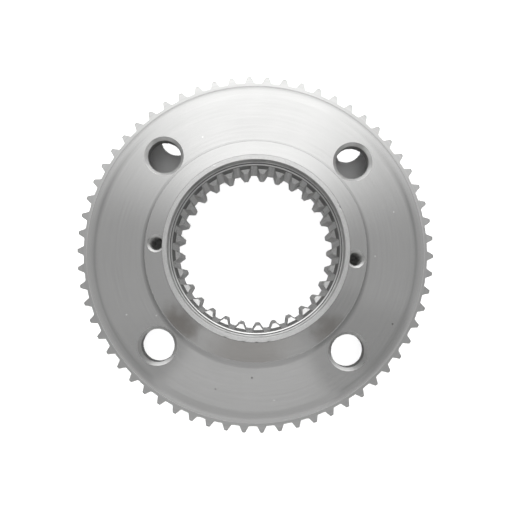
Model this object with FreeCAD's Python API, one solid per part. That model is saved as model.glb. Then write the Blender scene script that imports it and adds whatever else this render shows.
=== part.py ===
import FreeCAD, Part

import math
import os

# Internal ring gear in hub form, one turned and toothed piece of steel.
# All sizes are in millimetres and degrees. Z is the gear's axis, pointing up
# from the flat back that it lies on to the collar. The middle of the back is
# the origin, and the four through holes are at 45 degrees to X and Y.

# Outer teeth
TEETH = 62
TIP_DIA = 189.4
TOOTH_HEIGHT = 3.65
ROOT_DIA = TIP_DIA - 2 * TOOTH_HEIGHT
TOOTH_THICKNESS = 3.34
TOOTH_FLANK = 24.5
TOOTH_TIP_ROUND = 0.5
TOOTH_ROOT_ROUND = 0.6
TOOTH_TURN = 0.81
TOOTH_BEVEL = 8.0
TIP_CHAMFER = 0.6

# Rim and web
RIM_WIDTH = 20.0
RIM_WALL = 6.55
RIM_WALL_DIA = ROOT_DIA - 2 * RIM_WALL
WEB_THICKNESS = 7.5
GROOVE_MARGIN = 1.65
GROOVE_DIA = ROOT_DIA - 2 * GROOVE_MARGIN
GROOVE_RADIUS = 12.0
GROOVE_ROUNDING = 0.999 * GROOVE_RADIUS
GROOVE_FALL = 7.7
GROOVE_RISE = 14.0
RECESS_CHAMFER = 2.0

# Internal spline
SPLINE_TEETH = 29
SPLINE_MINOR_DIA = 70.6
SPLINE_HEIGHT = 2.9
SPLINE_MAJOR_DIA = SPLINE_MINOR_DIA + 2 * SPLINE_HEIGHT
SPLINE_THICKNESS = 3.69
SPLINE_FLANK = 31.0
SPLINE_LENGTH = 21.1
SPLINE_TIP_ROUND = 0.7
SPLINE_ROOT_ROUND = 0.4
SPLINE_FRONT_SLOPE = 30.0

# Seat in the collar, with a narrow ledge at its foot
LEDGE_CLEARANCE = 0.05
LEDGE_DIA = SPLINE_MAJOR_DIA - 2 * LEDGE_CLEARANCE
LEDGE_WIDTH = 1.85
SEAT_DIA = LEDGE_DIA + 2 * LEDGE_WIDTH
SEAT_DEPTH = 4.7
SEAT_ROUND = 1.1
LEAD_IN_DEPTH = 3.0
LEAD_IN_TAPER = 0.88

# Collar and shoulder
COLLAR_WALL = 2.3
COLLAR_DIA = SEAT_DIA + 2 * COLLAR_WALL
COLLAR_TOP = 63.0
COLLAR_ROUND = 2.6
SHOULDER_WIDTH = 12.7
SHOULDER_SLOPE = 3.0
STEP_DIA = COLLAR_DIA + 2 * SHOULDER_WIDTH
STEP_TOP = 38.9
STEP_ROUND = 5.0
EDGE_BREAK = 0.3

# Hollow back of the hub
SKIRT_STEP = 3.0
SKIRT_DIA = STEP_DIA + 2 * SKIRT_STEP
MIDDLE_BORE_GAP = 4.8
MIDDLE_BORE_DIA = SPLINE_MAJOR_DIA + 2 * MIDDLE_BORE_GAP
BACK_BORE_STEP = 4.0
BACK_BORE_DIA = MIDDLE_BORE_DIA + 2 * BACK_BORE_STEP
BACK_BORE_DEPTH = 16.0
BACK_CHAMFER = 1.0

# Through holes in the web, a little nearer to the step than to the groove
HOLES = 4
HOLE_DIA = 17.5
HOLE_INSET = 1.2
HOLE_CIRCLE = (STEP_DIA + GROOVE_DIA) / 2 - 2 * HOLE_INSET
HOLE_START = 45.0
HOLE_CHAMFER = 1.75

# Tapped holes in the shoulder, drilled to the core size of M8
JACK_HOLES = 2
JACK_CORE_DIA = 6.7
JACK_MOUTH_DIA = 8.9
JACK_OUTSET = 0.85
JACK_CIRCLE = (STEP_DIA + COLLAR_DIA) / 2 + 2 * JACK_OUTSET
JACK_START = -2.8
JACK_DEPTH = 18.0
DRILL_POINT = 118.0

# Cutting tools run past the faces that they open by this much
OVERRUN = 1.0


def rise(run, angle):
    """Height gained along a run at an angle to the horizontal."""
    return run * math.tan(math.radians(angle))


def rounded_outline(corners):
    """Closed wire through corners (x, y, radius), each with its own rounding."""
    edges = []
    joins = []
    for i, (x, y, radius) in enumerate(corners):
        corner = FreeCAD.Vector(x, y, 0)
        before = FreeCAD.Vector(*corners[i - 1][:2], 0)
        after = FreeCAD.Vector(*corners[(i + 1) % len(corners)][:2], 0)
        if radius == 0:
            joins.append((corner, None, corner))
            continue
        to_before = (before - corner).normalize()
        to_after = (after - corner).normalize()
        half = to_before.getAngle(to_after) / 2
        tangent = radius / math.tan(half)
        inward = (to_before + to_after).normalize()
        middle = corner + inward * (radius / math.sin(half) - radius)
        joins.append((corner + to_before * tangent, middle, corner + to_after * tangent))
    for i, (start, middle, end) in enumerate(joins):
        if middle is not None:
            edges.append(Part.Arc(start, middle, end).toShape())
        next_start = joins[(i + 1) % len(joins)][0]
        if (next_start - end).Length > 1e-6:
            edges.append(Part.makeLine(end, next_start))
    return Part.Wire(edges)


def turned(corners):
    """Solid of revolution about Z from corners (radius from the axis, height, rounding)."""
    face = Part.Face(rounded_outline(corners))
    face.rotate(FreeCAD.Vector(), FreeCAD.Vector(1, 0, 0), 90)
    return face.revolve(FreeCAD.Vector(), FreeCAD.Vector(0, 0, 1), 360)


def toothed_prism(count, turn, root, tip, bottom, top):
    """Upright prism with a toothed outline.

    root and tip are (radius, half thickness of the tooth, rounding) at the
    tooth's two ends. The root is nearer to the axis on outer teeth, and further
    from it on inner ones.
    """
    corners = []
    for tooth in range(count):
        middle = math.radians(turn + 360.0 * tooth / count)
        for (radius, half, rounding), side in (
            (root, -1),
            (tip, -1),
            (tip, 1),
            (root, 1),
        ):
            angle = middle + side * math.asin(half / radius)
            corners.append((radius * math.cos(angle), radius * math.sin(angle), rounding))
    face = Part.Face(rounded_outline(corners))
    face.translate(FreeCAD.Vector(0, 0, bottom))
    return face.extrude(FreeCAD.Vector(0, 0, top - bottom))


def ring_of(tool, count, start, circle_dia):
    """Copies of a tool that stands at the origin, spaced evenly round a circle."""
    tools = []
    for i in range(count):
        copy = tool.copy()
        copy.translate(FreeCAD.Vector(circle_dia / 2, 0, 0))
        copy.rotate(FreeCAD.Vector(), FreeCAD.Vector(0, 0, 1), start + 360.0 * i / count)
        tools.append(copy)
    return tools


def turned_blank():
    """The whole section as it leaves the lathe, with a plain band where teeth are cut."""
    tip = TIP_DIA / 2
    web_back = RIM_WIDTH - WEB_THICKNESS
    tooth_front = COLLAR_TOP - SEAT_DEPTH - LEAD_IN_DEPTH
    tooth_back = tooth_front - SPLINE_LENGTH
    tooth_foot = LEDGE_DIA / 2 - LEAD_IN_TAPER
    tooth_end = SPLINE_MINOR_DIA / 2 - OVERRUN
    shoulder_root = STEP_TOP + rise((STEP_DIA - COLLAR_DIA) / 2, SHOULDER_SLOPE)

    # Shallow groove under the teeth: a convex round, a hollow and a sharp outer corner.
    # GROOVE_ROUNDING leaves a hair of straight between the two rounds.
    hollow_turn = math.radians(GROOVE_FALL + GROOVE_RISE)
    fall_tangent = GROOVE_RADIUS * math.tan(math.radians(GROOVE_FALL) / 2)
    hollow_tangent = GROOVE_RADIUS * math.tan(hollow_turn / 2)
    fall = math.radians(GROOVE_FALL)
    climb = math.radians(GROOVE_RISE)
    hollow_x = GROOVE_DIA / 2 - hollow_tangent * math.cos(climb)
    hollow_drop = (fall_tangent + hollow_tangent) * math.sin(fall)
    groove_start = hollow_x - (fall_tangent + hollow_tangent) * math.cos(fall)
    groove_edge = RIM_WIDTH - hollow_drop + hollow_tangent * math.sin(climb)

    bevel_end = tip - TIP_CHAMFER
    bevel_low = groove_edge - rise(bevel_end - GROOVE_DIA / 2, TOOTH_BEVEL)

    return turned(
        [
            # Back of the rim and the teeth
            (RIM_WALL_DIA / 2, 0, 0),
            (tip, 0, 0),
            # Front of the teeth, groove and web
            (tip, bevel_low - TIP_CHAMFER, 0),
            (bevel_end, bevel_low, 0),
            (GROOVE_DIA / 2, groove_edge, 0),
            (hollow_x, RIM_WIDTH - hollow_drop, GROOVE_ROUNDING),
            (groove_start, RIM_WIDTH, GROOVE_ROUNDING),
            # Step up to the shoulder
            (STEP_DIA / 2, RIM_WIDTH, STEP_ROUND),
            (STEP_DIA / 2, STEP_TOP - EDGE_BREAK, 0),
            (STEP_DIA / 2 - EDGE_BREAK, STEP_TOP, 0),
            # Collar
            (COLLAR_DIA / 2, shoulder_root, COLLAR_ROUND),
            (COLLAR_DIA / 2, COLLAR_TOP - EDGE_BREAK, 0),
            (COLLAR_DIA / 2 - EDGE_BREAK, COLLAR_TOP, 0),
            (SEAT_DIA / 2 + EDGE_BREAK, COLLAR_TOP, 0),
            (SEAT_DIA / 2, COLLAR_TOP - EDGE_BREAK, 0),
            # Seat, ledge, lead-in and the sloping fronts of the spline's teeth
            (SEAT_DIA / 2, COLLAR_TOP - SEAT_DEPTH, SEAT_ROUND),
            (LEDGE_DIA / 2, COLLAR_TOP - SEAT_DEPTH, 0),
            (tooth_foot, tooth_front, 0),
            (tooth_end, tooth_front - rise(tooth_foot - tooth_end, SPLINE_FRONT_SLOPE), 0),
            (tooth_end, tooth_back, 0),
            # Hollow back of the hub
            (MIDDLE_BORE_DIA / 2, tooth_back, 0),
            (MIDDLE_BORE_DIA / 2, BACK_BORE_DEPTH, 0),
            (BACK_BORE_DIA / 2, BACK_BORE_DEPTH, 0),
            (BACK_BORE_DIA / 2, BACK_CHAMFER, 0),
            (BACK_BORE_DIA / 2 + BACK_CHAMFER, 0, 0),
            (SKIRT_DIA / 2, 0, 0),
            # Recess behind the web
            (SKIRT_DIA / 2, web_back - RECESS_CHAMFER, 0),
            (SKIRT_DIA / 2 + RECESS_CHAMFER, web_back, 0),
            (RIM_WALL_DIA / 2 - RECESS_CHAMFER, web_back, 0),
            (RIM_WALL_DIA / 2, web_back - RECESS_CHAMFER, 0),
        ]
    )


def outer_teeth():
    """Prism with the outline of the 62 outer teeth, a little taller than the rim."""
    mean = (TIP_DIA + ROOT_DIA) / 4
    half_height = (TIP_DIA - ROOT_DIA) / 4
    spread = rise(half_height, TOOTH_FLANK)
    return toothed_prism(
        TEETH,
        TOOTH_TURN,
        (mean - half_height, TOOTH_THICKNESS / 2 + spread, TOOTH_ROOT_ROUND),
        (mean + half_height, TOOTH_THICKNESS / 2 - spread, TOOTH_TIP_ROUND),
        -OVERRUN,
        COLLAR_TOP + OVERRUN,
    )


def spline_hole():
    """Prism of the splined hole, from under the spline up to the ledge."""
    mean = (SPLINE_MINOR_DIA + SPLINE_MAJOR_DIA) / 4
    half_height = (SPLINE_MAJOR_DIA - SPLINE_MINOR_DIA) / 4
    spread = rise(half_height, SPLINE_FLANK)
    return toothed_prism(
        SPLINE_TEETH,
        0.0,
        (mean + half_height, SPLINE_THICKNESS / 2 + spread, SPLINE_ROOT_ROUND),
        (mean - half_height, SPLINE_THICKNESS / 2 - spread, SPLINE_TIP_ROUND),
        BACK_BORE_DEPTH,
        COLLAR_TOP - SEAT_DEPTH + OVERRUN,
    )


def web_hole():
    """Drill and countersink for one through hole, standing on the origin."""
    radius = HOLE_DIA / 2
    mouth = radius + HOLE_CHAMFER
    return turned(
        [
            (0, -OVERRUN, 0),
            (radius, -OVERRUN, 0),
            (radius, RIM_WIDTH - HOLE_CHAMFER, 0),
            (mouth, RIM_WIDTH, 0),
            (mouth, RIM_WIDTH + OVERRUN, 0),
            (0, RIM_WIDTH + OVERRUN, 0),
        ]
    )


def jack_hole():
    """Drill with its point and countersink for one tapped hole, standing on the origin."""
    radius = JACK_CORE_DIA / 2
    mouth = JACK_MOUTH_DIA / 2
    face = STEP_TOP + rise((STEP_DIA - JACK_CIRCLE) / 2, SHOULDER_SLOPE)
    floor = face - JACK_DEPTH
    point = radius / math.tan(math.radians(DRILL_POINT) / 2)
    return turned(
        [
            (0, floor - point, 0),
            (radius, floor, 0),
            (radius, face - (mouth - radius), 0),
            (mouth + OVERRUN, face + OVERRUN, 0),
            (0, face + OVERRUN, 0),
        ]
    )


gear = turned_blank()
gear = gear.common(outer_teeth())
gear = gear.cut(spline_hole())
gear = gear.cut(ring_of(web_hole(), HOLES, HOLE_START, HOLE_CIRCLE))
gear = gear.cut(ring_of(jack_hole(), JACK_HOLES, JACK_START, JACK_CIRCLE))
gear = gear.Solids[0]

os.makedirs("parts", exist_ok=True)
gear.exportStep("parts/ring_gear.step")
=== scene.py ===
import math

import bmesh
import bpy
import numpy as np
from mathutils import Matrix, Vector


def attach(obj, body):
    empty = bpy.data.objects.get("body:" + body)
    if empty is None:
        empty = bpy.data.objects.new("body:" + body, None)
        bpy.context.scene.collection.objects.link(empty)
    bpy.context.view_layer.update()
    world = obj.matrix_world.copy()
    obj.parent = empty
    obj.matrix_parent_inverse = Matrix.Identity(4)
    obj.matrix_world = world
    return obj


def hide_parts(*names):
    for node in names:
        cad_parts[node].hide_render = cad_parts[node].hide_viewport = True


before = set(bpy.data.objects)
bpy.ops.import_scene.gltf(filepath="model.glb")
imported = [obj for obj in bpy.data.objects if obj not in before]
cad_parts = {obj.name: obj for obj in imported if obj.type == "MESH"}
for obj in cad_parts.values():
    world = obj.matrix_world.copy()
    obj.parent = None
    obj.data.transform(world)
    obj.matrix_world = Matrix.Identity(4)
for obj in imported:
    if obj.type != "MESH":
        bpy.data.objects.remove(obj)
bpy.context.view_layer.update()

bl_info = {
    "name": "Splined Ring Gear",
    "version": (1, 0, 0),
    "blender": (4, 5, 0),
    "location": "View3D > Sidebar > Ring Gear",
    "description": "Builds the toothed and splined steel hub, its finishes and its stage",
    "category": "Add Mesh",
}

MM = 0.001

# Outer teeth, in millimetres and degrees like all sizes down to the nicks
TEETH = 62
TOOTH_THICKNESS = 3.34
TOOTH_FLANK = 24.5
TOOTH_TIP_ROUND = 0.5
TOOTH_ROOT_ROUND = 0.6
TOOTH_ARC = 5
TOOTH_TURN = 0.81
TOOTH_BEVEL = 8.0
TOOTH_EDGE = 0.16
TIP_CHAMFER = 0.6
TIP_FACE = 0.05
TOOTH_RING = 90.0

# Rim, the groove beside it and the recess behind
RIM_WALL = 84.5
GROOVE_EDGE = 89.4
GROOVE_RADIUS = 15.6
GROOVE_FALL = 7.7
GROOVE_RISE = 8.0
RECESS_CHAMFER = 2.0

# Shoulder and collar
STEP_ROUND = 5.7
STEP_BREAK = 0.3
SHOULDER_SLOPE = 3.0
COLLAR_ROUND = 2.6
EDGE_BREAK = 0.18

# Seat, relief, ledge and lead-in
SEAT_ROUND = 0.5
RELIEF_OUTER = 39.4
RELIEF_INNER = 38.95
RELIEF_DEPTH = 0.4
RELIEF_TAPER = 0.1
LEDGE = 38.4
LEDGE_FALL = 0.3
LEDGE_CLEAR = 0.05
LEAD_IN_DEPTH = 3.0
LEAD_IN_TAPER = 1.13

# Spline
SPLINE_TEETH = 29
SPLINE_THICKNESS = 3.69
SPLINE_FLANK = 31.0
SPLINE_TIP_ROUND = 0.7
SPLINE_ROOT_ROUND = 0.4
SPLINE_ARC = 6
SPLINE_FRONT_SLOPE = 30.0
SPLINE_EDGE = 0.18
SPLINE_RING = 40.0

# Hollow back
SKIRT = 58.0
BACK_BORE = 47.0
BACK_BORE_DEPTH = 16.0
MIDDLE_BORE = 43.0
BACK_CHAMFER = 1.0

# Bolt holes, tapped holes and their thread
HOLE_CHAMFER = 1.75
HOLE_ROUND = 0.4
JACK_CORE = 3.35
JACK_MOUTH = 4.45
JACK_START = -2.8
JACK_DEPTH = 18.0
DRILL_POINT = 118.0
THREAD_PITCH = 1.25
THREAD_HEIGHT = 0.62
THREAD_SLOPE = 1.3
THREAD_ROOT = 0.15
THREAD_START = 0.6
THREAD_END = 2.0

# Nicks in the collar's edge: azimuth and width in degrees, depth
NICKS = (
    (27.5, 0.9, 0.28),
    (30.5, 0.7, 0.2),
    (252.5, 0.8, 0.2),
    (264.0, 0.9, 0.16),
    (272.0, 0.8, 0.24),
    (279.0, 0.7, 0.18),
    (118.0, 0.8, 0.14),
)

# Columns round the axis, the columns that a hole takes, and rows of points
COLUMNS = 480
HOLE_COLUMNS = (60, 180, 300, 420)
HOLE_SPAN = 28
JACK_COLUMNS = (0, 240)
JACK_SPAN = 16
WEB_ROWS = 19
SHOULDER_ROWS = 15
FACE_ROWS = 5
THREAD_ROWS = 88

# Shares of the way from the border of a patch to its hole
HOLE_BLEND = (0.0, 0.3, 0.55, 0.75, 0.9, 1.0)

# An arc keeps clear of the next corner by this share of its radius or this length
ARC_SHARE = 0.999
ARC_CLEAR = 0.01
RUN_IN = 0.5
SHARP_ANGLE = 20.0


def size(name, about, default):
    """A length property in metres."""
    return bpy.props.FloatProperty(
        name=name,
        description=about,
        default=default,
        min=0.0,
        subtype="DISTANCE",
        unit="LENGTH",
        precision=5,
    )


def paint(name, about, default):
    """A colour property."""
    return bpy.props.FloatVectorProperty(
        name=name,
        description=about,
        default=default,
        size=3,
        min=0.0,
        max=1.0,
        subtype="COLOR",
    )


class GearSizes(bpy.types.PropertyGroup):
    tip_dia: size("Tip diameter", "Across the tips of the outer teeth", 0.1894)
    root_dia: size("Root diameter", "Across the roots of the outer teeth", 0.1821)
    rim_width: size("Rim width", "Thickness of the toothed rim", 0.020)
    web: size("Web thickness", "Thickness of the web between rim and hub", 0.0075)
    step_dia: size("Shoulder diameter", "Across the raised shoulder", 0.110)
    step_top: size("Shoulder height", "Height of the shoulder's outer edge", 0.0389)
    collar_dia: size("Collar diameter", "Across the collar", 0.0846)
    collar_top: size("Collar height", "Height of the collar's ground face", 0.063)
    seat_dia: size("Seat diameter", "Across the seat in the collar", 0.080)
    seat_depth: size("Seat depth", "Depth of the seat in the collar", 0.0047)
    spline_minor: size("Spline tip diameter", "Across the tips of the inner spline", 0.0706)
    spline_major: size("Spline root diameter", "Across the roots of the inner spline", 0.0764)
    spline_length: size("Spline length", "Length of the inner spline", 0.0211)
    hole_dia: size("Bolt hole", "Diameter of the four holes in the web", 0.0175)
    hole_circle: size("Bolt circle", "Circle through the four holes", 0.142)
    jack_circle: size("Jacking circle", "Circle through the two tapped holes", 0.099)


class GearFinish(bpy.types.PropertyGroup):
    steel: paint("Steel", "Colour of the bare steel", (0.56, 0.56, 0.555))
    # This colour also paints the shade at the bottom of the shoulder
    smudge_and_shade: paint("Smudge", "Colour of the dried oil on the shoulder", (0.29, 0.27, 0.25))


class StageSettings(bpy.types.PropertyGroup):
    floor: paint("Floor", "Colour of the floor", (0.9, 0.9, 0.9))
    bounce: paint("Bounce", "Colour of the floor as the steel sees it", (0.28, 0.28, 0.28))
    ambient: bpy.props.FloatProperty(
        name="Ambient",
        description="Strength of the even light from all round",
        default=0.41,
        min=0.0,
    )


class Shell:
    """Gathers patches of one closed surface: points, faces and each face's finish."""

    def __init__(self):
        self.points = []
        self.loops = []
        self.sizes = []
        self.finish = []
        self.total = 0

    def patch(self, points, faces, finish):
        """Adds points (n, 3) and faces (m, 3 or 4) that index them."""
        self.points.append(points)
        self.loops.append((faces + self.total).ravel())
        self.sizes.append(np.full(len(faces), faces.shape[1]))
        self.finish.append(np.full(len(faces), finish))
        self.total += len(points)

    def sheet(self, grid, finish, keep=None):
        """Adds a grid (rows, columns, 3); its columns run round the axis in closed loops.

        A face's normal is the column direction crossed with the row direction,
        so a section runs up outer walls, inwards over fronts, down bores and
        outwards over backs.
        """
        rows, columns = grid.shape[:2]
        index = np.arange(rows * columns).reshape(rows, columns)
        right = np.roll(index, -1, axis=1)
        quads = np.stack([index[:-1], right[:-1], right[1:], index[1:]], axis=-1)
        if keep is not None:
            quads = quads[:, keep]
        self.patch(grid.reshape(-1, 3), quads.reshape(-1, 4), finish)

    def rings(self, rings, finish):
        """Adds a sheet through rings of the same count of points."""
        self.sheet(np.stack(rings), finish)

    def bridge(self, near, far, finish):
        """Joins two closed rings of any counts by triangles.

        The edges of both rings are put in order round the axis by the angle of
        their middles, and each edge meets the other ring's current point.
        """
        turns = [middles(ring) for ring in (near, far)]
        orders = [np.argsort(turn) for turn in turns]
        sorted_turns = [turn[order] for turn, order in zip(turns, orders)]
        on_far = orders[1][np.searchsorted(sorted_turns[1], turns[0]) - 1] + 1
        on_near = orders[0][np.searchsorted(sorted_turns[0], turns[1]) - 1] + 1
        n = len(near)
        m = len(far)
        i = np.arange(n)
        j = np.arange(m)
        first = np.stack([i, (i + 1) % n, on_far % m + n], axis=-1)
        second = np.stack([on_near % n, (j + 1) % m + n, j + n], axis=-1)
        self.patch(np.vstack([near, far]), np.vstack([first, second]), finish)

    def mesh(self, name):
        """The gathered patches as one mesh with shared points and no empty faces."""
        points = np.vstack(self.points) * MM
        loops = np.concatenate(self.loops)
        sizes = np.concatenate(self.sizes)
        mesh = bpy.data.meshes.new(name)
        mesh.vertices.add(len(points))
        mesh.vertices.foreach_set("co", points.ravel())
        mesh.loops.add(len(loops))
        mesh.loops.foreach_set("vertex_index", loops)
        mesh.polygons.add(len(sizes))
        mesh.polygons.foreach_set("loop_start", np.concatenate([[0], np.cumsum(sizes)[:-1]]))
        mesh.polygons.foreach_set("material_index", np.concatenate(self.finish))
        mesh.update(calc_edges=True)
        work = bmesh.new()
        work.from_mesh(mesh)
        bmesh.ops.remove_doubles(work, verts=work.verts, dist=1e-6)
        bmesh.ops.dissolve_degenerate(work, edges=work.edges, dist=1e-7)
        work.to_mesh(mesh)
        work.free()
        return mesh


def middles(ring):
    """Angle of each edge's middle round the axis, from 0 to a full turn."""
    half = ring + np.roll(ring, -1, axis=0)
    return np.mod(np.arctan2(half[:, 1], half[:, 0]), 2 * np.pi)


def turned(section, angles):
    """Surface of revolution: each section point (radius, height) swept round Z."""
    section = np.asarray(section)
    radius = section[:, :1]
    grid = np.empty((len(section), len(angles), 3))
    grid[:, :, 0] = radius * np.cos(angles)
    grid[:, :, 1] = radius * np.sin(angles)
    grid[:, :, 2] = section[:, 1:2]
    return grid


def corner_arc(corner, before, after, rounding):
    """Centre, first spoke and turn of the arc that touches both sides of a corner.

    It touches them at rounding / tan(half the corner), and its centre lies on
    the bisector, at rounding / sin(half the corner).
    """
    corner = np.array(corner)
    back = np.array(before) - corner
    ahead = np.array(after) - corner
    back /= np.linalg.norm(back)
    ahead /= np.linalg.norm(ahead)
    half = np.arccos(np.clip(back @ ahead, -1, 1)) / 2
    bisector = (back + ahead) / np.linalg.norm(back + ahead)
    centre = corner + bisector * rounding / np.sin(half)
    start = corner + back * rounding / np.tan(half) - centre
    turn = (np.pi - 2 * half) * -np.sign(back[0] * ahead[1] - back[1] * ahead[0])
    return centre, start, turn


def spokes(start, turn, count):
    """An arc's first spoke and count more, each turned on by the same angle."""
    angle = np.linspace(0, turn, count + 1)[:, None]
    across = np.array([-start[1], start[0]])
    return start * np.cos(angle) + across * np.sin(angle)


def rounded(*corners, step):
    """Open section through corners (x, y, rounding) with an arc at each rounded one.

    An arc turns about its centre in steps of at most step degrees.
    """
    points = []
    for i, (x, y, rounding) in enumerate(corners):
        if rounding == 0:
            points.append(np.array([[x, y]]))
            continue
        sides = (corners[i - 1][:2], corners[i + 1][:2])
        centre, start, turn = corner_arc((x, y), *sides, rounding)
        count = max(2, math.ceil(abs(math.degrees(turn)) / step))
        points.append(centre + spokes(start, turn, count))
    return np.vstack(points)


def toothed(count, turn, root, tip, arc):
    """Closed toothed outline and its normals, which point away from the axis.

    root and tip are (radius, half thickness, rounding) at a tooth's two ends,
    and the tip may lie nearer the axis than the root. Each corner is an arc of
    arc steps that touches its two sides, and the other sides are straight. One
    tooth is worked out and turned round the axis.
    """
    pitch = 2 * np.pi / count
    corners = []
    for (radius, half, rounding), side in ((root, -1), (tip, -1), (tip, 1), (root, 1)):
        angle = side * math.asin(half / radius)
        corners.append((radius * math.cos(angle), radius * math.sin(angle), rounding))

    def carried(corner, angle):
        """A corner's point turned round the axis."""
        x, y = corner[:2]
        return (
            x * math.cos(angle) - y * math.sin(angle),
            y * math.cos(angle) + x * math.sin(angle),
        )

    row = [carried(corners[-1], -pitch), *corners, carried(corners[0], pitch)]
    points = []
    normals = []
    for i, (x, y, rounding) in enumerate(corners):
        centre, start, swing = corner_arc((x, y), row[i][:2], row[i + 2][:2], rounding)
        spoke = spokes(start, swing, arc)
        points.append(centre + spoke)
        normals.append(spoke / rounding * np.sign(swing))
    points = np.vstack(points)
    normals = np.vstack(normals)
    turns = math.radians(turn) + pitch * np.arange(count)
    spin = np.stack([np.cos(turns), -np.sin(turns), np.sin(turns), np.cos(turns)], -1)
    spin = spin.reshape(-1, 1, 2, 2)
    points = (spin @ points[None, :, :, None]).reshape(-1, 2)
    normals = (spin @ normals[None, :, :, None]).reshape(-1, 2)
    return points, normals


def lifted(flat, height):
    """Flat points (n, 2) with a height, one or one for each point."""
    return np.column_stack([flat, np.broadcast_to(height, len(flat))])


def at_radius(flat, radius):
    """The flat points moved along their spokes to a radius, one or one for each."""
    share = np.broadcast_to(radius, len(flat)) / np.linalg.norm(flat, axis=1)
    return flat * share[:, None]


def square_angles(span, rows, outward):
    """Angles of a hole's points, a quarter turn for each side of the patch round it."""
    sides = [span, rows, span, rows]
    start = -135.0 if outward else -45.0
    way = -1.0 if outward else 1.0
    parts = [
        start + way * 90.0 * (i + np.arange(count) / count) for i, count in enumerate(sides)
    ]
    return np.radians(np.concatenate(parts))


def pierced(shell, radii, angles, height, centres, span, place, mouth, finish):
    """Turned ring with round holes, and each hole's mouth as a ring of points.

    The ring's grid leaves out the columns at each hole. There the points go
    straight from the border of that patch to the hole's circle, with the height
    of the ring's own section at their radius.
    """
    section = np.column_stack([radii, height(radii)])
    grid = turned(section, angles)
    rows = len(radii) - 1
    columns = len(angles)
    keep = np.ones(columns, bool)
    mouths = []
    half = span // 2
    outward = radii[-1] > radii[0]
    for centre in centres:
        run = np.arange(centre - half, centre + half + 1) % columns
        keep[run[:-1]] = False
        loop = np.vstack(
            [
                grid[0, run[:-1]],
                grid[:-1, run[-1]],
                grid[-1, run[:0:-1]],
                grid[:0:-1, run[0]],
            ]
        )[:, :2]
        middle_angle = angles[centre % columns]
        spoke = square_angles(span, rows, outward) + middle_angle
        middle = place * np.array([math.cos(middle_angle), math.sin(middle_angle)])
        circle = middle + mouth * np.column_stack([np.cos(spoke), np.sin(spoke)])
        blend = np.array(HOLE_BLEND)[:, None, None]
        flat = loop * (1 - blend) + circle * blend
        reach = np.linalg.norm(flat, axis=-1)
        patch = np.dstack([flat, height(reach)])
        shell.sheet(patch, finish)
        mouths.append((middle, spoke))
    shell.sheet(grid, finish, keep=keep)
    return mouths


# Finish numbers, in the order of gear_materials
WEB, FLANGE, FILLET, SHOULDER, GROUND, HOBBED, TIP_SHADE, BROACHED = range(8)
LEAD_IN_SHADE, SEAT, EDGE_AND_RELIEF_SHADE, HOLE, SUNK, TAPPED, BACK = range(8, 15)


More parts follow.
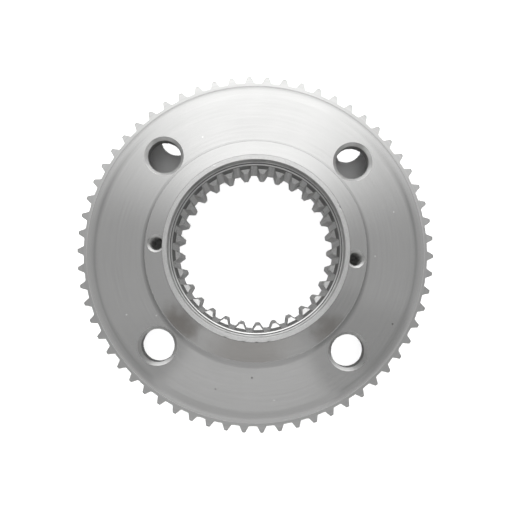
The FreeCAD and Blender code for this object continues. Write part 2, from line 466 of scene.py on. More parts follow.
def gear_shell(sizes):
    """The whole gear as one closed surface, from its section and two toothed outlines.

    Plain turned zones have even columns. The rim's teeth and the spline have
    columns at their own outline points, and triangles join the zones on a flat
    or conical face. A tooth's edge is broken by moving the outline along its
    normals on the face and down by the same amount on the flank.
    """
    tip = sizes.tip_dia / 2 / MM
    root = sizes.root_dia / 2 / MM
    rim = sizes.rim_width / MM
    web_back = rim - sizes.web / MM
    step = sizes.step_dia / 2 / MM
    step_top = sizes.step_top / MM
    collar = sizes.collar_dia / 2 / MM
    collar_top = sizes.collar_top / MM
    seat = sizes.seat_dia / 2 / MM
    ledge_height = collar_top - sizes.seat_depth / MM
    front = ledge_height - LEAD_IN_DEPTH
    rear = front - sizes.spline_length / MM
    minor = sizes.spline_minor / 2 / MM
    major = sizes.spline_major / 2 / MM
    hole = sizes.hole_dia / 2 / MM
    hole_place = sizes.hole_circle / 2 / MM
    jack_place = sizes.jack_circle / 2 / MM
    slope = math.tan(math.radians(SHOULDER_SLOPE))
    even = np.arange(COLUMNS) * 360.0 / COLUMNS
    plain = np.radians(even)
    fine = np.radians(even + JACK_START)
    shell = Shell()

    # Groove beside the teeth, from its sharp outer corner to the flat web
    fall = math.radians(GROOVE_FALL)
    climb = math.radians(GROOVE_RISE)
    fall_tangent = GROOVE_RADIUS * math.tan(fall / 2)
    hollow_tangent = GROOVE_RADIUS * math.tan((fall + climb) / 2)
    hollow_x = GROOVE_EDGE - hollow_tangent * math.cos(climb)
    hollow_drop = (fall_tangent + hollow_tangent) * math.sin(fall)
    groove_start = hollow_x - (fall_tangent + hollow_tangent) * math.cos(fall)
    groove_height = rim - hollow_drop + hollow_tangent * math.sin(climb)
    web_edge = groove_start - fall_tangent - ARC_CLEAR
    bevel = math.tan(math.radians(TOOTH_BEVEL))
    bevel_end = tip - TIP_CHAMFER

    def front_height(radius):
        """Height of the toothed front: the bevel, and the chamfer beyond it."""
        height = groove_height - bevel * (radius - GROOVE_EDGE)
        return height - np.maximum(radius - bevel_end, 0) * (1 - bevel)

    # Outer teeth
    spread = (tip - root) / 2 * math.tan(math.radians(TOOTH_FLANK))
    outline, normals = toothed(
        TEETH,
        TOOTH_TURN,
        (root, TOOTH_THICKNESS / 2 + spread, TOOTH_ROOT_ROUND),
        (tip, TOOTH_THICKNESS / 2 - spread, TOOTH_TIP_ROUND),
        TOOTH_ARC,
    )
    drawn_in = outline - normals * TOOTH_EDGE
    inner_reach = np.linalg.norm(drawn_in, axis=1)
    shelf = np.minimum(bevel_end, inner_reach - TIP_FACE)
    flank_top = front_height(np.linalg.norm(outline, axis=1)) - TOOTH_EDGE
    inner_ring = at_radius(outline, TOOTH_RING)
    back_ring = lifted(inner_ring, 0.0)
    back_edge = lifted(drawn_in, 0.0)
    front_edge = lifted(drawn_in, front_height(inner_reach))
    tooth_front = lifted(at_radius(drawn_in, shelf), front_height(shelf))
    front_ring = lifted(inner_ring, front_height(TOOTH_RING))
    shell.bridge(turned([(RIM_WALL, 0.0)], plain)[0], back_ring, BACK)
    shell.rings([back_ring, back_edge], BACK)
    flank = [lifted(outline, TOOTH_EDGE), lifted(outline, flank_top)]
    shell.rings([back_edge, *flank, front_edge], HOBBED)
    # The outer ends of the tooth fronts, with the tip chamfers, take a darker steel: painted shade
    shell.rings([front_edge, tooth_front], TIP_SHADE)
    shell.rings([tooth_front, front_ring], FLANGE)
    groove = rounded(
        (GROOVE_EDGE, groove_height, 0),
        (hollow_x, rim - hollow_drop, GROOVE_RADIUS * ARC_SHARE),
        (groove_start, rim, GROOVE_RADIUS * ARC_SHARE),
        (web_edge, rim, 0),
        step=2.0,
    )
    shell.bridge(front_ring, turned(groove[:1], plain)[0], FLANGE)
    shell.sheet(turned(groove, plain), WEB)

    # Web with its four holes, front and back
    def web_height(radius):
        """Height of the flat web."""
        return np.full_like(radius, rim)

    def recess_height(radius):
        """Height of the web's back, over the recess."""
        return np.full_like(radius, web_back)

    bolts = (HOLE_COLUMNS, HOLE_SPAN, hole_place)
    radii = np.linspace(web_edge, step + STEP_ROUND, WEB_ROWS)
    web_mouths = pierced(shell, radii, plain, web_height, *bolts, hole + HOLE_CHAMFER, WEB)
    radii = np.linspace(SKIRT + RECESS_CHAMFER, RIM_WALL - RECESS_CHAMFER, WEB_ROWS)
    pierced(shell, radii, plain, recess_height, *bolts, hole, BACK)
    wall = rounded(
        (hole + HOLE_CHAMFER, rim, 0),
        (hole, rim - HOLE_CHAMFER, HOLE_ROUND),
        (hole, web_back, 0),
        step=12.0,
    )
    for middle, spoke in web_mouths:
        grid = turned(wall, spoke)
        grid[:, :, :2] += middle
        shell.sheet(grid[:-1], SUNK)
        shell.sheet(grid[-2:], HOLE)

    # Step up to the shoulder
    wall = rounded(
        (step + STEP_ROUND + RUN_IN, rim, 0),
        (step, rim, STEP_ROUND * ARC_SHARE),
        (step, step_top - STEP_BREAK, 0),
        (step - STEP_BREAK, step_top, 0),
        step=6.0,
    )[1:]
    wall[0] = (step + STEP_ROUND, rim)
    lower = turned(wall[:-2], plain)
    shell.sheet(lower, FILLET)
    shell.bridge(lower[-1], turned(wall[-2:-1], fine)[0], FILLET)
    shell.sheet(turned(wall[-2:], fine), FILLET)

    # Shoulder with its two tapped holes
    def shoulder_height(radius):
        """Height of the shoulder, which rises a little towards the collar."""
        return step_top + (step - STEP_BREAK - radius) * slope

    neck_round = COLLAR_ROUND * math.tan(math.radians(90 - SHOULDER_SLOPE) / 2)
    neck = collar + neck_round + ARC_CLEAR
    jacks = (JACK_COLUMNS, JACK_SPAN, jack_place)
    radii = np.linspace(step - STEP_BREAK, neck, SHOULDER_ROWS)
    jack_mouths = pierced(shell, radii, fine, shoulder_height, *jacks, JACK_MOUTH, SHOULDER)
    for middle, spoke in jack_mouths:
        tapped_hole(shell, middle, spoke, shoulder_height)

    # Collar, its ground face, seat and ledge
    section = rounded(
        (neck + RUN_IN, shoulder_height(neck + RUN_IN), 0),
        (collar, shoulder_height(collar), COLLAR_ROUND * ARC_SHARE),
        (collar, collar_top - EDGE_BREAK, 0),
        (collar - EDGE_BREAK, collar_top, 0),
        step=6.0,
    )[1:]
    section[0] = (neck, shoulder_height(neck))
    collar_wall = nicked(turned(section, fine), fine)
    shell.sheet(collar_wall[:-1], SHOULDER)
    # The collar's top edge takes the darkest steel: painted shade along the edge
    shell.sheet(collar_wall[-2:], EDGE_AND_RELIEF_SHADE)
    radii = np.linspace(collar - EDGE_BREAK, seat + EDGE_BREAK, FACE_ROWS)
    face = turned(np.column_stack([radii, np.full(FACE_ROWS, collar_top)]), fine)
    face[0] = collar_wall[-1]
    shell.sheet(face, GROUND)
    relief_foot = ledge_height - RELIEF_DEPTH
    section = rounded(
        (seat + EDGE_BREAK, collar_top, 0),
        (seat, collar_top - EDGE_BREAK, 0),
        (seat, ledge_height, SEAT_ROUND),
        (RELIEF_OUTER, ledge_height, 0),
        (RELIEF_OUTER - RELIEF_TAPER, relief_foot, 0),
        (RELIEF_INNER + RELIEF_TAPER, relief_foot, 0),
        (RELIEF_INNER, ledge_height, 0),
        (LEDGE + LEDGE_CLEAR, ledge_height - LEDGE_FALL, 0),
        step=9.0,
    )
    shell.sheet(turned(section[:-4], fine), SEAT)
    # The relief groove takes the same darkest steel: painted shade in the groove
    shell.sheet(turned(section[-5:-1], fine), EDGE_AND_RELIEF_SHADE)
    shell.sheet(turned(section[-2:], fine), GROUND)

    # Spline
    spread = (major - minor) / 2 * math.tan(math.radians(SPLINE_FLANK))
    outline, normals = toothed(
        SPLINE_TEETH,
        0.0,
        (major, SPLINE_THICKNESS / 2 + spread, SPLINE_ROOT_ROUND),
        (minor, SPLINE_THICKNESS / 2 - spread, SPLINE_TIP_ROUND),
        SPLINE_ARC,
    )
    outline, normals = with_crossings(outline, normals, [LEDGE - LEAD_IN_TAPER, LEDGE])
    spline_sheets(shell, outline, normals, turned(section[-1:], fine)[0], front, rear, plain)

    # Hollow back of the hub, and the rim's inner wall
    section = [
        (MIDDLE_BORE, rear),
        (MIDDLE_BORE, BACK_BORE_DEPTH),
        (BACK_BORE, BACK_BORE_DEPTH),
        (BACK_BORE, BACK_CHAMFER),
        (BACK_BORE + BACK_CHAMFER, 0.0),
        (SKIRT, 0.0),
        (SKIRT, web_back - RECESS_CHAMFER),
        (SKIRT + RECESS_CHAMFER, web_back),
    ]
    shell.sheet(turned(section, plain), BACK)
    section = [
        (RIM_WALL - RECESS_CHAMFER, web_back),
        (RIM_WALL, web_back - RECESS_CHAMFER),
        (RIM_WALL, 0.0),
    ]
    shell.sheet(turned(section, plain), BACK)
    return shell


def nicked(grid, angles):
    """The collar's wall with small nicks pressed into its top edge.

    A nick is a bell curve over the angle, exp(-(turn / width)^2) times its
    depth. It presses the last two rows down, and the upper one inwards too.
    """
    for middle, width, depth in NICKS:
        turn = np.mod(np.degrees(angles) - middle + 180.0, 360.0) - 180.0
        dip = depth * np.exp(-((turn / width) ** 2))
        grid[-2:, :, 2] -= dip
        grid[-1, :, :2] *= (1 - dip / np.linalg.norm(grid[-1, :, :2], axis=1))[:, None]
    return grid


def with_crossings(outline, normals, radii):
    """The outline with points added where its straight sides cross given radii.

    Points run on a straight side as start + t * (end - start), and t is where the
    distance to the axis equals the radius.
    """
    for radius in radii:
        ahead = np.roll(outline, -1, axis=0)
        reach = np.linalg.norm(outline, axis=1)
        next_reach = np.roll(reach, -1)
        crossing = np.nonzero((reach - radius) * (next_reach - radius) < 0)[0]
        way = ahead[crossing] - outline[crossing]
        a = np.sum(way * way, axis=1)
        b = np.sum(way * outline[crossing], axis=1)
        c = reach[crossing] ** 2 - radius**2
        root = np.sqrt(b * b - a * c)
        t = np.where(next_reach[crossing] > radius, (root - b) / a, (-root - b) / a)
        added = outline[crossing] + t[:, None] * way
        outline = np.insert(outline, crossing + 1, added, axis=0)
        normals = np.insert(normals, crossing + 1, normals[crossing], axis=0)
    return outline, normals


def spline_sheets(shell, outline, normals, ledge_ring, front, rear, plain):
    """Lead-in, tooth fronts, flanks and backs of the spline, on its outline's columns.

    The lead-in is a steep cone from the ledge down to the tooth fronts, which
    are a flatter cone down towards the axis. Where the outline is wider than the
    lead-in, that stops at the outline, so the tooth spaces run right up to the
    ledge.
    """
    reach = np.linalg.norm(outline, axis=1)
    foot = LEDGE - LEAD_IN_TAPER
    steep = (LEAD_IN_DEPTH - LEDGE_FALL) / LEAD_IN_TAPER
    ledge_height = front + LEAD_IN_DEPTH - LEDGE_FALL
    mouth = np.maximum(reach, LEDGE)
    cone = np.clip(reach, foot, None)
    cone_height = np.minimum(front + (cone - foot) * steep, ledge_height)
    inner_side = reach < foot - SPLINE_EDGE
    drawn_back = outline + normals * np.where(inner_side, SPLINE_EDGE, 0.0)[:, None]
    mouth_ring = lifted(at_radius(outline, mouth), ledge_height)
    cone_ring = lifted(at_radius(outline, cone), cone_height)
    shell.bridge(ledge_ring, mouth_ring, GROUND)
    # The lead-in cone takes a darker steel: painted shade under the ledge
    shell.rings([mouth_ring, cone_ring], LEAD_IN_SHADE)
    fall = math.tan(math.radians(SPLINE_FRONT_SLOPE))
    face_reach = np.linalg.norm(drawn_back, axis=1)
    slope = front - np.maximum(foot - face_reach, 0.0) * fall
    face_ring = lifted(drawn_back, np.where(reach < foot, slope, cone_height))
    shell.rings([cone_ring, face_ring], BROACHED)
    flank_top = lifted(outline, face_ring[:, 2] - SPLINE_EDGE)
    flank_foot = lifted(outline, rear + SPLINE_EDGE)
    back_edge = lifted(outline + normals * SPLINE_EDGE, rear)
    shell.rings([face_ring, flank_top, flank_foot, back_edge], BROACHED)
    ring = lifted(at_radius(outline, SPLINE_RING), rear)
    shell.rings([back_edge, ring], BACK)
    shell.bridge(ring, turned([(MIDDLE_BORE, rear)], plain)[0], BACK)


def tapped_hole(shell, middle, spoke, mouth_height):
    """Countersink, thread and drill point of one tapped hole.

    The thread's radius is the core plus its height times a rounded triangle
    wave of depth / pitch less the share of a turn, which makes a helix. It
    fades in below the countersink and out above the drill point.
    """
    mouth = middle + JACK_MOUTH * np.column_stack([np.cos(spoke), np.sin(spoke)])
    mouth_ring = lifted(mouth, mouth_height(np.linalg.norm(mouth, axis=1)))
    face = mouth_height(np.array(np.linalg.norm(middle)))
    start = face - (JACK_MOUTH - JACK_CORE)
    floor = face - JACK_DEPTH
    length = start - floor
    depth = np.linspace(0.0, length, THREAD_ROWS)[:, None]
    phase = np.mod(depth / THREAD_PITCH - spoke / (2 * np.pi), 1.0)
    wave = 1 - np.abs(2 * phase - 1)
    fade = np.clip(depth / THREAD_START, 0, 1) * np.clip(length - THREAD_END - depth, 0, 1)
    crest = np.clip(wave * THREAD_SLOPE - THREAD_ROOT, 0, 1)
    radius = JACK_CORE + THREAD_HEIGHT * fade * crest
    grid = np.dstack(
        [
            middle[0] + radius * np.cos(spoke),
            middle[1] + radius * np.sin(spoke),
            np.broadcast_to(start - depth, radius.shape),
        ]
    )
    shell.sheet(np.concatenate([mouth_ring[None], grid[:1]]), SUNK)
    shell.sheet(grid, TAPPED)
    point = floor - JACK_CORE / math.tan(math.radians(DRILL_POINT) / 2)
    end = np.broadcast_to([middle[0], middle[1], point], (1, len(spoke), 3))
    shell.sheet(np.concatenate([grid[-1:], end]), TAPPED)


class Nodes:
    """Short calls for a node tree, of a material or of the world."""

    def __init__(self, owner, shader="Principled BSDF"):
        owner.use_nodes = True
        self.tree = owner.node_tree
        self.shader = self.tree.nodes[shader]

    def add(self, kind, **values):
        node = self.tree.nodes.new(kind)
        for name, value in values.items():
            setattr(node, name, value)
        return node

    def join(self, source, target):
        self.tree.links.new(source, target)

    def maths(self, operation, first, second=0.0):
        """One sum, of numbers or of sockets."""
        node = self.add("ShaderNodeMath", operation=operation)
        for socket, value in zip(node.inputs, (first, second)):
            if isinstance(value, (int, float)):
                socket.default_value = value
            else:
                self.join(value, socket)
        return node.outputs[0]

    def vectors(self, operation, first, second=(0.0, 0.0, 0.0)):
        """One sum of vectors, as a node whose output the caller picks."""
        node = self.add("ShaderNodeVectorMath", operation=operation)
        for socket, value in zip(node.inputs, (first, second)):
            if isinstance(value, tuple):
                socket.default_value = value
            else:
                self.join(value, socket)
        return node

    def noise(self, place, scale, detail, rough=0.5):
        node = self.add("ShaderNodeTexNoise")
        self.join(place, node.inputs["Vector"])
        node.inputs["Scale"].default_value = scale
        node.inputs["Detail"].default_value = detail
        node.inputs["Roughness"].default_value = rough
        return node.outputs["Fac"]

    def span(self, value, low, high, to_low, to_high, smooth=False):
        """A value from low to high carried over to another span, and held at its ends."""
        kind = "SMOOTHSTEP" if smooth else "LINEAR"
        node = self.add("ShaderNodeMapRange", interpolation_type=kind)
        self.join(value, node.inputs["Value"])
        node.inputs["From Min"].default_value = low
        node.inputs["From Max"].default_value = high
        node.inputs["To Min"].default_value = to_low
        node.inputs["To Max"].default_value = to_high
        return node.outputs["Result"]

    def soft_edge(self, angle, middle, width, ends):
        """Smooth step of an angle about a middle, both in degrees, between two ends."""
        low = math.radians(middle - width / 2)
        high = math.radians(middle + width / 2)
        return self.span(angle, low, high, *ends, smooth=True)

    def blended(self, first, second, share):
        """Two noises added, the first by its share and the second by the rest."""
        rest = self.maths("MULTIPLY", second, 1 - share)
        return self.maths("ADD", self.maths("MULTIPLY", first, share), rest)

    def mix(self, share, first, second):
        """The first colour turning to the second as the share runs from 0 to 1."""
        node = self.add("ShaderNodeMix", data_type="RGBA")
        self.join(share, node.inputs[0])
        for socket, value in zip((node.inputs[6], node.inputs[7]), (first, second)):
            if isinstance(value, tuple):
                socket.default_value = (*value, 1.0)
            else:
                self.join(value, socket)
        return node.outputs[2]


# Noise lies mostly between these two, so colour and gloss are spread over them
NOISE_LOW = 0.25
NOISE_HIGH = 0.75

# Shares of a mark's radius at which it starts to fade and is gone
MARK_CORE = 0.2
MARK_RIM = 1.35


class Steel(Nodes):
    """Bare steel, with the coordinates that its marks are worked out from."""

    def __init__(self, name, colour, roughness, anisotropy=0.0):
        self.material = bpy.data.materials.new(name)
        super().__init__(self.material)
        self.inputs = self.shader.inputs
        self.colour = colour
        self.roughness = roughness
        self.inputs["Metallic"].default_value = 1.0
        self.inputs["Roughness"].default_value = roughness
        self.inputs["Anisotropic"].default_value = anisotropy
        self.inputs["Anisotropic Rotation"].default_value = 0.25
        self.place = self.add("ShaderNodeTexCoord").outputs["Object"]
        self.flat = self.vectors("MULTIPLY", self.place, (1.0, 1.0, 0.0)).outputs[0]
        self.radius = self.vectors("LENGTH", self.flat).outputs["Value"]
        self.way = self.vectors("NORMALIZE", self.flat).outputs[0]
        if anisotropy > 0:
            around = self.vectors("CROSS_PRODUCT", (0.0, 0.0, 1.0), self.way).outputs[0]
            self.join(around, self.inputs["Tangent"])

    def streaks(self, across, along, detail=2.0):
        """Noise drawn out round the axis, across waves a metre and along waves a radian."""
        step = self.add("ShaderNodeCombineXYZ")
        self.join(self.maths("MULTIPLY", self.radius, across), step.inputs["Z"])
        turn = self.vectors("MULTIPLY", self.way, (along, along, 0.0)).outputs[0]
        place = self.vectors("ADD", turn, step.outputs[0]).outputs[0]
        return self.noise(place, 1.0, detail)

    def drawn(self, scale, rise, detail=2.0):
        """Noise drawn out along the axis, scale waves a metre across and rise up."""
        stretched = self.vectors("MULTIPLY", self.place, (scale, scale, rise)).outputs[0]
        return self.noise(stretched, 1.0, detail)

    def shade(self, share, depth):
        """The colour, darker and lighter by depth as the share runs from 0 to 1."""
        dark = tuple(value * (1 - depth) for value in self.colour)
        light = tuple(min(value * (1 + depth), 1.0) for value in self.colour)
        return self.mix(self.span(share, NOISE_LOW, NOISE_HIGH, 0.0, 1.0), dark, light)

    def spot(self, x, y, radius, ragged=0.0):
        """1 about a point on the face and 0 past a radius, with an edge that may wander."""
        reach = self.vectors("DISTANCE", self.flat, (x * MM, y * MM, 0.0)).outputs["Value"]
        if ragged:
            noise = self.noise(self.place, 130.0, 3.0)
            wander = self.span(noise, 0.0, 1.0, -ragged * MM, ragged * MM)
            reach = self.maths("ADD", reach, wander)
        core = radius * MM * MARK_CORE
        return self.span(reach, core, radius * MM * MARK_RIM, 1.0, 0.0, smooth=True)

    def marked(self, base, marks):
        """The base colour with spots of other colours, each (share, strength, colour)."""
        for share, strength, colour in marks:
            base = self.mix(self.maths("MULTIPLY", share, strength), base, colour)
        return base

    def bumped(self, height, depth):
        """Small relief: a height from 0 to 1 times a depth in millimetres."""
        bump = self.add("ShaderNodeBump")
        bump.inputs["Strength"].default_value = 1.0
        bump.inputs["Distance"].default_value = depth * MM
        self.join(height, bump.inputs["Height"])
        self.join(bump.outputs["Normal"], self.inputs["Normal"])

    def finish(self, colour, share, spread):
        """Sets the colour, and a roughness that wanders by spread with the share."""
        self.join(colour, self.inputs["Base Color"])
        ends = (self.roughness - spread, self.roughness + spread)
        rough = self.span(share, NOISE_LOW, NOISE_HIGH, *ends)
        self.join(rough, self.inputs["Roughness"])
        return self.material


# Small marks on the web, and oily smudges and a painted shade on the shoulder: x, y, radius, and
# strength of a stain
LIGHT_SPECKS = (
    (-67.0, -34.4, 0.55),
    (-51.3, -34.4, 0.5),
    (63.3, 0.3, 0.5),
    (72.6, 24.1, 0.5),
    (-30.0, 61.0, 0.4),
    (12.0, -77.0, 0.4),
)
DARK_SPECKS = ((73.3, -35.2, 0.55), (0.0, -65.6, 0.55), (-19.0, -72.0, 0.4))
SMUDGES_AND_SHADE = (
    (-34.8, -36.6, 9.0, 0.8),
    (36.5, -37.5, 8.5, 0.65),
    (-42.0, -31.0, 5.0, 0.3),
    # This row is painted shade, a broad darkening of the bottom of the shoulder
    (-2.0, -52.0, 24.0, 0.5),
)
LIGHT_SPECK = (0.95, 0.95, 0.94)
LIGHT_SPECK_SHARE = 0.55
DARK_SPECK = (0.2, 0.19, 0.18)
DARK_SPECK_SHARE = 0.9
STAIN_AND_SHADE_WANDER = 6.0


def turned_steel(name, colour, roughness, anisotropy, marks=False, smudge_and_shade=None):
    """Face turned on a lathe: fine rings, with streaks of colour and gloss along them."""
    steel = Steel(name, colour, roughness, anisotropy)
    broad = steel.streaks(900.0, 2.2, 4.0)
    fine = steel.streaks(5000.0, 5.0)
    cloud = steel.noise(steel.place, 45.0, 4.0, 0.6)
    base = steel.shade(steel.blended(broad, cloud, 0.55), 0.05)
    if marks:
        for specks, strength, tint in (
            (LIGHT_SPECKS, LIGHT_SPECK_SHARE, LIGHT_SPECK),
            (DARK_SPECKS, DARK_SPECK_SHARE, DARK_SPECK),
        ):
            spots = [(steel.spot(*speck), strength, tint) for speck in specks]
            base = steel.marked(base, spots)
    # Oily smudges, and a painted shade that darkens the bottom of the shoulder
    if smudge_and_shade:
        stains_and_shade = [
            (steel.spot(x, y, radius, STAIN_AND_SHADE_WANDER), strength, smudge_and_shade)
            for x, y, radius, strength in SMUDGES_AND_SHADE
        ]
        base = steel.marked(base, stains_and_shade)
    rings = steel.maths("ADD", fine, steel.maths("MULTIPLY", broad, 1.5))
    steel.bumped(rings, 0.006)
    return steel.finish(base, fine, 0.02)


def flange_steel(colour):
    """Toothed front: turned, then dulled, with faint rings and a soft grain."""
    steel = Steel("turned_flange_steel", colour, 0.44, 0.1)
    broad = steel.streaks(1200.0, 3.0, 3.0)
    grain = steel.noise(steel.place, 2500.0, 3.0, 0.7)
    steel.bumped(grain, 0.012)
    return steel.finish(steel.shade(broad, 0.08), grain, 0.05)


def ground_steel(colour):
    """Ground end of the collar: a bright crossing grain with a few deep scratches."""
    steel = Steel("ground_face_steel", colour, 0.42, 0.6)
    grain = steel.noise(steel.place, 1800.0, 4.0, 0.75)
    streak = steel.streaks(2600.0, 9.0, 3.0)
    share = steel.blended(grain, streak, 0.6)
    steel.bumped(share, 0.02)
    return steel.finish(steel.shade(share, 0.22), grain, 0.06)


def hobbed_steel(colour):
    """Outer teeth: marks of the hob across the flanks, and a fine grain."""
    steel = Steel("hobbed_tooth_steel", colour, 0.42)
    marks = steel.drawn(120.0, 1400.0)
    grain = steel.noise(steel.place, 2200.0, 3.0, 0.7)
    steel.bumped(marks, 0.015)
    return steel.finish(steel.shade(marks, 0.15), grain, 0.06)


def broached_steel(colour):
    """Spline: lines drawn along the axis, with a few small dark pits."""
    steel = Steel("broached_spline_steel", colour, 0.42)
    lines = steel.drawn(1600.0, 70.0, 3.0)
    grain = steel.noise(steel.place, 1500.0, 3.0, 0.7)
    base = steel.shade(steel.blended(lines, grain, 0.5), 0.3)
    pits = steel.span(steel.noise(steel.place, 330.0, 1.0), 0.7, 0.73, 0.0, 1.0, smooth=True)
    base = steel.marked(base, [(pits, DARK_SPECK_SHARE, DARK_SPECK)])
    steel.bumped(lines, 0.02)
    return steel.finish(base, grain, 0.06)


def bored_steel(name, colour, roughness, anisotropy):
    """Bored walls and back faces: rings of the tool and a broken sheen."""
    steel = Steel(name, colour, roughness, anisotropy)
    rings = steel.drawn(30.0, 1900.0)
    sheen = steel.noise(steel.place, 160.0, 3.0, 0.6)
    steel.bumped(rings, 0.012)
    return steel.finish(steel.shade(sheen, 0.12), rings, 0.04)


def tapped_steel(colour):
    """Threaded wall: more dull than metal, as dust and old oil leave it."""
    steel = Steel("tapped_steel", colour, 0.7)
    steel.inputs["Metallic"].default_value = 0.25
    grain = steel.noise(steel.place, 900.0, 3.0, 0.6)
    return steel.finish(steel.shade(grain, 0.1), grain, 0.05)


def gear_materials(finish):
    """The finishes, in the order of the shell's finish numbers."""
    steel = tuple(finish.steel)
    smudge_and_shade = tuple(finish.smudge_and_shade)

    def tinted(share):
        """The steel's colour, darker or lighter by a share."""
        return tuple(min(value * share, 1.0) for value in steel)

    return [
        turned_steel("turned_web_steel", steel, 0.14, 1.0, marks=True),
        flange_steel(tinted(1.06)),
        turned_steel("turned_fillet_steel", tinted(0.92), 0.2, 1.0),
        # The shoulder takes the oily smudges and the painted shade at its bottom
        turned_steel("turned_shoulder_steel", tinted(0.97), 0.17, 0.8, smudge_and_shade=smudge_and_shade),
        ground_steel(tinted(1.18)),
        hobbed_steel(steel),
        # A darker copy of the steel on the tooth tips' chamfers: painted shade
        bored_steel("tooth_tip_shade_steel", tinted(0.7), 0.5, 0.0),
        broached_steel(tinted(1.1)),
        # A darker copy of the steel for the lead-in cone: painted shade under the ledge
        bored_steel("bored_steel", tinted(0.55), 0.45, 0.5),
        bored_steel("seat_steel", tinted(1.12), 0.6, 0.0),
        # A much darker copy of the steel: painted shade in the relief groove and on the collar's
        # top edge
        bored_steel("relief_and_edge_shade_steel", tinted(0.45), 0.6, 0.0),
        bored_steel("hole_wall_steel", tinted(0.95), 0.6, 0.0),
        bored_steel("countersunk_steel", tinted(1.3), 0.5, 0.0),
        tapped_steel(tinted(1.25)),
        bored_steel("back_steel", steel, 0.4, 0.6),
    ]


class RINGGEAR_OT_gear(bpy.types.Operator):
    """Builds the toothed rim, web, hub and spline as one steel piece"""

    bl_idname = "ring_gear.gear"
    bl_label = "Ring Gear"

    def execute(self, context):
        scene = context.scene
        mesh = gear_shell(scene.gear_sizes).mesh("splined_hub")
        mesh.shade_smooth()
        mesh.set_sharp_from_angle(angle=math.radians(SHARP_ANGLE))
        for material in gear_materials(scene.gear_finish):
            mesh.materials.append(material)
        gear = bpy.data.objects.new("splined_hub", mesh)
        scene.collection.objects.link(gear)
        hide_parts("ring_gear")
        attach(gear, "root")
        return {"FINISHED"}


class RINGGEAR_OT_stage(bpy.types.Operator):
    """Sets the white floor, the camera over the gear and the studio lights"""

    bl_idname = "ring_gear.stage"
    bl_label = "Stage"

    def execute(self, context):
        scene = context.scene
        settings = scene.gear_stage
        floor_piece(scene, settings)
        studio_camera(scene)
        studio_world(scene, settings)
        studio_lights(scene)
        return {"FINISHED"}


def floor_piece(scene, settings):
    """Flat floor, white to the camera, and greyer in what it throws on the steel."""
    mesh = bpy.data.meshes.new("floor")
    signs = [(-1, -1), (1, -1), (1, 1), (-1, 1)]
    corners = [(x * FLOOR_HALF, y * FLOOR_HALF, 0) for x, y in signs]
    mesh.from_pydata(corners, [], [(0, 1, 2, 3)])
    floor = bpy.data.objects.new("floor", mesh)
    scene.collection.objects.link(floor)
    material = bpy.data.materials.new("floor_paper")
    nodes = Nodes(material)
    path = nodes.add("ShaderNodeLightPath")
    shown = nodes.mix(path.outputs["Is Camera Ray"], tuple(settings.bounce), tuple(settings.floor))
    nodes.join(shown, nodes.shader.inputs["Base Color"])
    nodes.shader.inputs["Roughness"].default_value = 1.0
    nodes.shader.inputs["Specular IOR Level"].default_value = 0.0
    mesh.materials.append(material)


# Panels of the studio: azimuth, half width, edge, two zenith angles, edge, strength
PANELS = (
    (90.0, 43.0, 58.0, 8.0, 62.0, 5.0, 1.27),
    (90.0, 50.0, 50.0, 50.0, 80.0, 10.0, 1.15),
    (90.0, 60.0, 40.0, 66.0, 92.0, 10.0, 0.9),
    (268.0, 38.5, 1.0, 8.0, 15.0, 2.0, 0.42),
    (268.0, 38.5, 2.0, 20.0, 85.0, 8.0, 0.16),
    (335.0, 14.0, 10.0, 4.0, 28.0, 8.0, -0.13),
    (214.0, 12.0, 6.0, 4.0, 28.0, 8.0, -0.05),
    (0.0, 45.0, 50.0, 6.0, 27.0, 8.0, 0.12),
    (180.0, 45.0, 50.0, 6.0, 27.0, 8.0, 0.12),
    (0.0, 60.0, 40.0, 34.0, 62.0, 10.0, -0.14),
    (180.0, 60.0, 40.0, 34.0, 62.0, 10.0, -0.14),
    (0.0, 200.0, 10.0, -10.0, 6.0, 4.0, 0.22),
)

# Floor's half width, and low suns that light it alone, so that none shines down the holes
FLOOR_HALF = 2.5
FLOOR_SUNS = 8
FLOOR_SUN_RISE = math.radians(21.0)
FLOOR_SUN_WIDTH = math.radians(12.0)
FLOOR_LEVEL = 1.7

# Spots on the floor seen through the bore and the holes: radii and reach in metres
BORE_LIGHT = 0.052
HOLE_LIGHT = 0.017
PATCH_LIGHT = 0.012
PATCH_REACH = 0.8
THROUGH_LEVEL = 3.2
PATCH_LEVEL = 4.6
SPOT_BLEND = 0.15
SPOT_SOFT = 0.002

# Floor under a lower hole is seen this much further across and down than the hole
SEEN_ACROSS = 1.04
SEEN_DOWN = 1.06

# Ways in which light comes down through the upper holes
PATCH_SLANTS = (
    ("left_patch_light", -1, (-4.15, -15.7, 20.0)),
    ("right_patch_light", 1, (0.7, -14.6, 20.0)),
)

# Camera: pixels of the frame, degrees, and millimetres from the gear's axis
FOCAL_PIXELS = 528.0
FRAME_PIXELS = 510.0
SHIFT_PIXELS = 12.5
SENSOR_WIDTH = 36.0
CAMERA_ROLL = 1.7
CAMERA_HEIGHT = 299.0
NADIR_RIGHT = -2.4
NADIR_DOWN = 14.3
AXIS_RIGHT = 1.6
AXIS_UP = 15.1


def frame_ways():
    """Directions along the floor that run right and up in the frame."""
    roll = math.radians(CAMERA_ROLL)
    right = Vector((math.cos(roll), math.sin(roll), 0))
    up = Vector((-math.sin(roll), math.cos(roll), 0))
    return right, up


def camera_place():
    """The camera's place, from where the gear's axis meets the frame."""
    right, up = frame_ways()
    return (Vector((0, 0, CAMERA_HEIGHT)) - right * AXIS_RIGHT - up * AXIS_UP) * MM


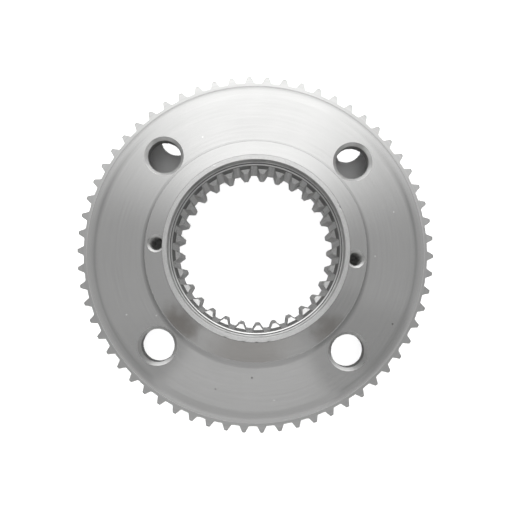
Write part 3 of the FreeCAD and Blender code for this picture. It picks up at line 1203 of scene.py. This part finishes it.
def studio_camera(scene):
    """Camera nearly above the axis, turned a little and tipped away from the front.

    Its place is where the web's middle and the collar's middle fall in the
    frame, and its tilt is where the straight-down direction meets the frame.
    """
    right, up = frame_ways()
    tilt = right * (-NADIR_RIGHT / FOCAL_PIXELS) + up * (NADIR_DOWN / FOCAL_PIXELS)
    ahead = (Vector((0, 0, -1)) + tilt).normalized()
    right = (right - ahead * right.dot(ahead)).normalized()
    up = right.cross(ahead)
    data = bpy.data.cameras.new("camera")
    data.sensor_width = SENSOR_WIDTH
    data.lens = SENSOR_WIDTH * FOCAL_PIXELS / FRAME_PIXELS
    data.shift_y = SHIFT_PIXELS / FRAME_PIXELS
    data.clip_start = 0.01
    camera = bpy.data.objects.new("camera", data)
    rotation = Matrix((right, up, -ahead)).transposed().to_4x4()
    camera.matrix_world = Matrix.Translation(camera_place()) @ rotation
    scene.collection.objects.link(camera)
    scene.camera = camera


def studio_lights(scene):
    """Lamps that light the floor alone: low suns all round it, and a spot for each hole."""
    sizes = scene.gear_sizes
    receivers = bpy.data.collections.new("floor_light_receivers")
    receivers.objects.link(bpy.data.objects["floor"])
    hub = Vector((0, 0, 0))
    low = math.cos(FLOOR_SUN_RISE)
    high = math.sin(FLOOR_SUN_RISE)
    sun_level = FLOOR_LEVEL * math.pi / FLOOR_SUNS / high
    for i in range(FLOOR_SUNS):
        turn = 2 * math.pi * i / FLOOR_SUNS
        place = Vector((low * math.cos(turn), low * math.sin(turn), high))
        name = f"floor_light_{i + 1}"
        sun = floor_lamp(scene, receivers, name, "SUN", sun_level, place, hub)
        sun.angle = FLOOR_SUN_WIDTH
    eye = camera_place()
    floor_spot(scene, receivers, "bore_light", eye, hub, BORE_LIGHT, THROUGH_LEVEL)
    out = sizes.hole_circle / 2 * math.sqrt(0.5)
    for name, side in (("left_hole_light", -1), ("right_hole_light", 1)):
        seen = Vector((side * out * SEEN_ACROSS, -out * SEEN_DOWN, 0))
        floor_spot(scene, receivers, name, eye, seen, HOLE_LIGHT, THROUGH_LEVEL)
    for name, side, slant in PATCH_SLANTS:
        hole = Vector((side * out, out, sizes.rim_width))
        lamp = hole + Vector(slant).normalized() * PATCH_REACH
        floor_spot(scene, receivers, name, lamp, hole, PATCH_LIGHT, PATCH_LEVEL)


def floor_lamp(scene, receivers, name, kind, energy, place, target):
    """Lamp that lights the floor alone, aimed from a place at a target."""
    data = bpy.data.lights.new(name, kind)
    data.energy = energy
    lamp = bpy.data.objects.new(name, data)
    turn = (target - place).to_track_quat("-Z", "Y").to_matrix().to_4x4()
    lamp.matrix_world = Matrix.Translation(place) @ turn
    lamp.light_linking.receiver_collection = receivers
    scene.collection.objects.link(lamp)
    return data


def floor_spot(scene, receivers, name, place, target, radius, level):
    """Spot on the floor round a target, to a level at which 1 is a white sheet."""
    reach = (place - target).length
    energy = level * 4 * math.pi * reach * reach
    spot = floor_lamp(scene, receivers, name, "SPOT", energy, place, target)
    spot.spot_size = 2 * math.atan(radius / reach)
    spot.spot_blend = SPOT_BLEND
    spot.shadow_soft_size = SPOT_SOFT


def studio_world(scene, settings):
    """World whose light is even, with soft-edged panels that add to it or take from it.

    A panel is a product of windows over the azimuth and over the angle from the
    zenith. Each rises and falls by a smooth step, of its edge's width.
    """
    world = bpy.data.worlds.new("studio")
    scene.world = world
    nodes = Nodes(world, "Background")
    place = nodes.add("ShaderNodeTexCoord").outputs["Generated"]
    split = nodes.add("ShaderNodeSeparateXYZ")
    nodes.join(place, split.inputs[0])
    tilt = nodes.maths("ARCCOSINE", split.outputs["Z"])
    total = settings.ambient
    for azimuth, half, edge, low, high, soft, strength in PANELS:
        turn = math.radians(azimuth)
        ahead = (math.cos(turn), math.sin(turn), 0.0)
        aside = (-math.sin(turn), math.cos(turn), 0.0)
        along = nodes.vectors("DOT_PRODUCT", place, ahead).outputs["Value"]
        across = nodes.vectors("DOT_PRODUCT", place, aside).outputs["Value"]
        angle = nodes.maths("ABSOLUTE", nodes.maths("ARCTAN2", across, along))
        wide = nodes.soft_edge(angle, half, edge, (1.0, 0.0))
        near = nodes.soft_edge(tilt, low, soft, (0.0, 1.0))
        far = nodes.soft_edge(tilt, high, soft, (1.0, 0.0))
        window = nodes.maths("MULTIPLY", nodes.maths("MULTIPLY", wide, near), far)
        total = nodes.maths("ADD", nodes.maths("MULTIPLY", window, strength), total)
    path = nodes.add("ShaderNodeLightPath")
    shown = nodes.add("ShaderNodeMix")
    nodes.join(path.outputs["Is Camera Ray"], shown.inputs[0])
    nodes.join(total, shown.inputs[2])
    shown.inputs[3].default_value = 1.0
    nodes.join(shown.outputs[0], nodes.shader.inputs["Strength"])
    nodes.shader.inputs["Color"].default_value = (1, 1, 1, 1)


class RINGGEAR_PT_panel(bpy.types.Panel):
    """Lists the steps that build the gear and its stage"""

    bl_label = "Ring Gear"
    bl_idname = "RINGGEAR_PT_panel"
    bl_space_type = "VIEW_3D"
    bl_region_type = "UI"
    bl_category = "Ring Gear"

    def draw(self, context):
        layout = self.layout
        layout.operator("ring_gear.gear")
        layout.operator("ring_gear.stage")
        scene = context.scene
        for group in (scene.gear_sizes, scene.gear_finish, scene.gear_stage):
            for name in group.bl_rna.properties.keys():
                if name not in ("rna_type", "name"):
                    layout.prop(group, name)


CLASSES = (
    GearSizes,
    GearFinish,
    StageSettings,
    RINGGEAR_OT_gear,
    RINGGEAR_OT_stage,
    RINGGEAR_PT_panel,
)


def register():
    for item in CLASSES:
        bpy.utils.register_class(item)
    bpy.types.Scene.gear_sizes = bpy.props.PointerProperty(type=GearSizes)
    bpy.types.Scene.gear_finish = bpy.props.PointerProperty(type=GearFinish)
    bpy.types.Scene.gear_stage = bpy.props.PointerProperty(type=StageSettings)


def unregister():
    del bpy.types.Scene.gear_stage
    del bpy.types.Scene.gear_finish
    del bpy.types.Scene.gear_sizes
    for item in reversed(CLASSES):
        bpy.utils.unregister_class(item)


def main():
    register()
    scene = bpy.context.scene
    scene.view_settings.view_transform = "Standard"
    bpy.ops.ring_gear.gear()
    bpy.ops.ring_gear.stage()


if __name__ == "__main__":
    main()
